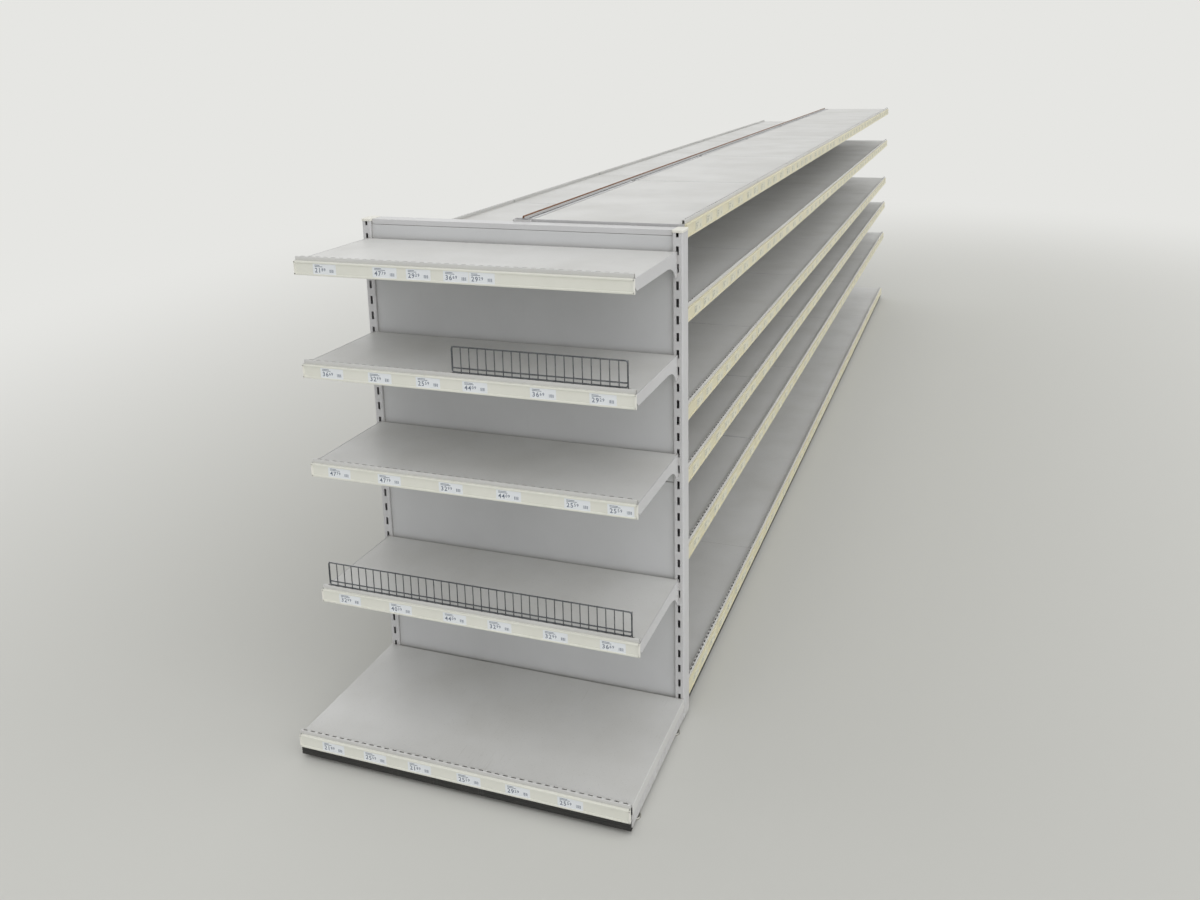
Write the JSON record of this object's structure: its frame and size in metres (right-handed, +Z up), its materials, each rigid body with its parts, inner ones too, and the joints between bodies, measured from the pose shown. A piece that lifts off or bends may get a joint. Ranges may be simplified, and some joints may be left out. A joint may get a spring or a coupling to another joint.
{
  "type": "double-sided shop shelving run with end bay",
  "caption": "Free-standing double-sided shop shelving run: slotted uprights, hooked trays, ticket strips and an end bay with wire fences.",
  "frame": {"origin": "on the floor at the centre of the whole run's footprint", "axes": "+Y along the run, away from the end bay; +X towards the right-hand side seen from the end bay; +Z up"},
  "size_m": [1.036, 6.62, 1.557],
  "materials": {
    "frame_enamel": "satin powder coat, light warm grey",
    "tray_enamel": "satin powder coat, near white",
    "panel_enamel": "satin powder coat, pale grey",
    "plinth_enamel": "satin powder coat, black",
    "strip_plastic": "extruded cream plastic",
    "wire_zinc": "bright zinc plated wire",
    "hardboard": "raw brown hardboard edge",
    "cap_plastic": "moulded off-white plastic",
    "foot_steel": "zinc plated"
  },
  "bodies": {
    "root": {"end_post_right": "frame_enamel", "end_post_left": "frame_enamel", "end_post_caps": "cap_plastic", "end_cross_rails": "frame_enamel", "end_back_panels": "panel_enamel", "end_base_legs": "frame_enamel", "end_base_tray": "tray_enamel", "end_plinth": "plinth_enamel", "end_shelf_1": "tray_enamel", "end_shelf_2": "tray_enamel", "end_shelf_3": "tray_enamel", "end_shelf_4": "tray_enamel", "end_brackets_right": "frame_enamel", "end_brackets_left": "frame_enamel", "end_ticket_strips": "strip_plastic", "wire_fence_lower": "wire_zinc", "wire_fence_upper": "wire_zinc", "run_uprights": "frame_enamel", "right_base_legs": "frame_enamel", "left_base_legs": "frame_enamel", "right_base_trays": "tray_enamel", "left_base_trays": "tray_enamel", "right_plinths": "plinth_enamel", "left_plinths": "plinth_enamel", "right_shelves_1": "tray_enamel", "right_shelves_2": "tray_enamel", "right_shelves_3": "tray_enamel", "right_shelves_4": "tray_enamel", "right_shelves_5": "tray_enamel", "left_shelves_1": "tray_enamel", "left_shelves_2": "tray_enamel", "left_shelves_3": "tray_enamel", "left_shelves_4": "tray_enamel", "left_shelves_5": "tray_enamel", "right_brackets": "frame_enamel", "left_brackets": "frame_enamel", "right_back_panels": "panel_enamel", "left_back_panels": "panel_enamel", "divider_rails": "frame_enamel", "divider_boards": "hardboard", "right_ticket_strips": "strip_plastic", "left_ticket_strips": "strip_plastic", "levelling_feet": "foot_steel"}
  },
  "joints": []
}
